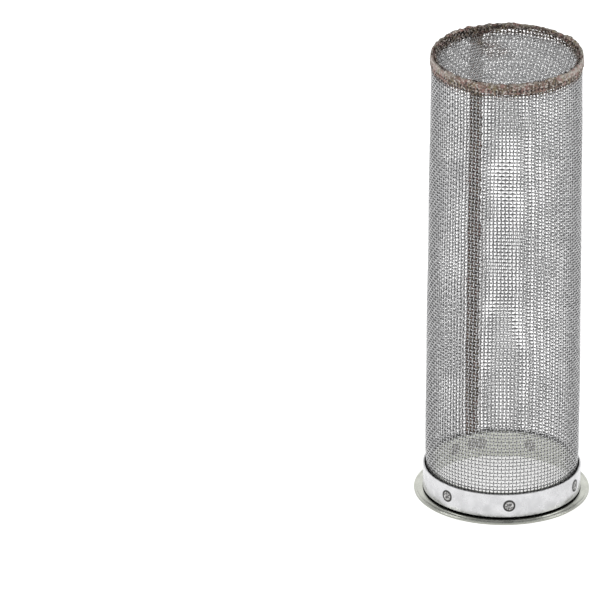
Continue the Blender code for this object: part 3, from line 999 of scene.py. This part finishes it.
CAMERA_LENS = 1202.0
CAMERA_SENSOR = 36.0
FRAME_PIXELS = 600
PIXELS_PER_METRE = 3188.0
CAMERA_ELEVATION = math.radians(24.7)
CAMERA_ROLL = math.radians(0.47)
FLANGE_PIXEL = (501.5, 487.9)
FLOOR_REACH = 8.0
FLOOR_LIFT = 0.6
ROOM_LIGHT = 0.55
CEILING_IN_METAL = 0.35
CEILING_ELEVATIONS = (math.radians(28.0), math.radians(42.0))
LIGHT_TARGET = Vector((0.0, 0.0, 0.07))
LIGHTS = (
    ("left_light", (-1.35, -0.30, 0.80), 5.4, 0.7),
    ("right_light", (1.35, -0.25, 0.80), 5.4, 0.7),
    ("top_light", (0.0, 0.40, 1.60), 3.0, 1.0),
)


class STRAINER_OT_stage(bpy.types.Operator):
    """Set the floor, the soft light and the camera"""

    bl_idname = "strainer.stage"
    bl_label = "Floor, light and camera"

    def execute(self, context):
        scene = context.scene
        scene.view_settings.view_transform = "Standard"
        self.make_floor(scene)
        self.make_world(scene)
        for name, place, power, size in LIGHTS:
            self.make_light(scene, name, Vector(place), power, size)
        self.make_camera(scene)
        return {"FINISHED"}

    def make_floor(self, scene):
        bm = bmesh.new()
        bmesh.ops.create_grid(bm, x_segments=1, y_segments=1, size=FLOOR_REACH)
        mesh = bpy.data.meshes.new("floor")
        bm.to_mesh(mesh)
        bm.free()
        floor = bpy.data.objects.new("floor", mesh)
        scene.collection.objects.link(floor)
        material = bpy.data.materials.new("floor")
        material.use_nodes = True
        nodes = Nodes(material.node_tree)
        nodes.tree.nodes.clear()
        output = nodes.node("ShaderNodeOutputMaterial")
        matt = nodes.node("ShaderNodeBsdfDiffuse")
        matt.inputs["Color"].default_value = (*scene.strainer_colours.floor, 1.0)
        glow = nodes.node("ShaderNodeEmission")
        glow.inputs["Color"].default_value = (1.0, 1.0, 1.0, 1.0)
        rays = nodes.node("ShaderNodeLightPath").outputs
        seen = nodes.maths("MAXIMUM", rays["Is Camera Ray"], rays["Is Glossy Ray"])
        nodes.join(nodes.maths("MULTIPLY", seen, FLOOR_LIFT), glow.inputs["Strength"])
        both = nodes.node("ShaderNodeAddShader")
        nodes.join(matt.outputs[0], both.inputs[0])
        nodes.join(glow.outputs[0], both.inputs[1])
        clear = nodes.node("ShaderNodeBsdfTransparent")
        pick = nodes.node("ShaderNodeMixShader")
        nodes.join(nodes.node("ShaderNodeNewGeometry").outputs["Backfacing"], pick.inputs[0])
        nodes.join(both.outputs[0], pick.inputs[1])
        nodes.join(clear.outputs[0], pick.inputs[2])
        nodes.join(pick.outputs[0], output.inputs["Surface"])
        mesh.materials.append(material)

    def make_world(self, scene):
        """A white room that metal sees dimmed overhead, and that lights less than it shows."""
        world = bpy.data.worlds.new("studio")
        world.use_nodes = True
        scene.world = world
        nodes = Nodes(world.node_tree)
        back = nodes.tree.nodes["Background"]
        back.inputs["Color"].default_value = (1.0, 1.0, 1.0, 1.0)
        rays = nodes.node("ShaderNodeLightPath").outputs
        seen = nodes.maths("MAXIMUM", rays["Is Camera Ray"], rays["Is Glossy Ray"])
        seen = nodes.maths("MAXIMUM", seen, rays["Is Transmission Ray"])
        level = nodes.node("ShaderNodeMapRange")
        level.inputs["To Min"].default_value = ROOM_LIGHT
        level.inputs["To Max"].default_value = 1.0
        nodes.join(seen, level.inputs["Value"])
        place = nodes.node("ShaderNodeTexCoord").outputs["Generated"]
        parts = nodes.node("ShaderNodeSeparateXYZ")
        nodes.join(place, parts.inputs[0])
        ceiling = nodes.node("ShaderNodeMapRange", interpolation_type="SMOOTHSTEP")
        ceiling.inputs["From Min"].default_value = math.sin(CEILING_ELEVATIONS[0])
        ceiling.inputs["From Max"].default_value = math.sin(CEILING_ELEVATIONS[1])
        ceiling.inputs["To Max"].default_value = CEILING_IN_METAL - 1.0
        nodes.join(parts.outputs["Z"], ceiling.inputs["Value"])
        dim = nodes.maths("MULTIPLY_ADD", rays["Is Glossy Ray"], ceiling.outputs["Result"], 1.0)
        strength = nodes.maths("MULTIPLY", level.outputs["Result"], dim)
        nodes.join(strength, back.inputs["Strength"])

    def make_light(self, scene, name, place, power, size):
        data = bpy.data.lights.new(name, "AREA")
        data.energy = power
        data.size = size
        lamp = bpy.data.objects.new(name, data)
        lamp.location = place
        lamp.rotation_euler = (LIGHT_TARGET - place).to_track_quat("-Z", "Y").to_euler()
        scene.collection.objects.link(lamp)

    def make_camera(self, scene):
        data = bpy.data.cameras.new("camera")
        data.lens = CAMERA_LENS
        data.sensor_width = CAMERA_SENSOR
        data.dof.use_dof = False
        focal_pixels = CAMERA_LENS / CAMERA_SENSOR * FRAME_PIXELS
        distance = focal_pixels / PIXELS_PER_METRE
        back = Vector((0.0, -math.cos(CAMERA_ELEVATION), math.sin(CAMERA_ELEVATION)))
        right = Vector((1.0, 0.0, 0.0))
        up = back.cross(right)
        roll = Matrix.Rotation(CAMERA_ROLL, 3, back)
        right, up = roll @ right, roll @ up
        across = (FLANGE_PIXEL[0] - FRAME_PIXELS / 2) / PIXELS_PER_METRE
        down = (FLANGE_PIXEL[1] - FRAME_PIXELS / 2) / PIXELS_PER_METRE
        camera = bpy.data.objects.new("camera", data)
        basis = Matrix((right, up, back)).transposed().to_4x4()
        camera.matrix_world = Matrix.Translation(back * distance - right * across + up * down) @ basis
        data.clip_start = 0.1
        data.clip_end = 60.0
        scene.collection.objects.link(camera)
        scene.camera = camera


PIECE_OPERATORS = (
    STRAINER_OT_collar,
    STRAINER_OT_band,
    STRAINER_OT_wire_cloth,
    STRAINER_OT_end_disc,
    STRAINER_OT_fused_rim,
    STRAINER_OT_fused_seam,
    STRAINER_OT_spot_marks,
    STRAINER_OT_stage,
)


class VIEW3D_PT_strainer(bpy.types.Panel):
    """Buttons that build each piece, with its sizes and colours"""

    bl_label = "Strainer"
    bl_space_type = "VIEW_3D"
    bl_region_type = "UI"
    bl_category = "Strainer"

    def draw(self, context):
        for group in (context.scene.strainer_sizes, context.scene.strainer_colours):
            box = self.layout.box()
            for name in group.__annotations__:
                box.prop(group, name)
        for operator in PIECE_OPERATORS:
            self.layout.operator(operator.bl_idname)


CLASSES = (StrainerSizes, StrainerColours, *PIECE_OPERATORS, VIEW3D_PT_strainer)


def register():
    for cls in CLASSES:
        bpy.utils.register_class(cls)
    bpy.types.Scene.strainer_sizes = bpy.props.PointerProperty(type=StrainerSizes)
    bpy.types.Scene.strainer_colours = bpy.props.PointerProperty(type=StrainerColours)


def unregister():
    del bpy.types.Scene.strainer_colours
    del bpy.types.Scene.strainer_sizes
    for cls in reversed(CLASSES):
        bpy.utils.unregister_class(cls)


def main():
    register()
    bpy.ops.strainer.collar()
    bpy.ops.strainer.band()
    bpy.ops.strainer.wire_cloth()
    bpy.ops.strainer.end_disc()
    bpy.ops.strainer.fused_rim()
    bpy.ops.strainer.fused_seam()
    bpy.ops.strainer.spot_marks()
    bpy.ops.strainer.stage()


if __name__ == "__main__":
    main()
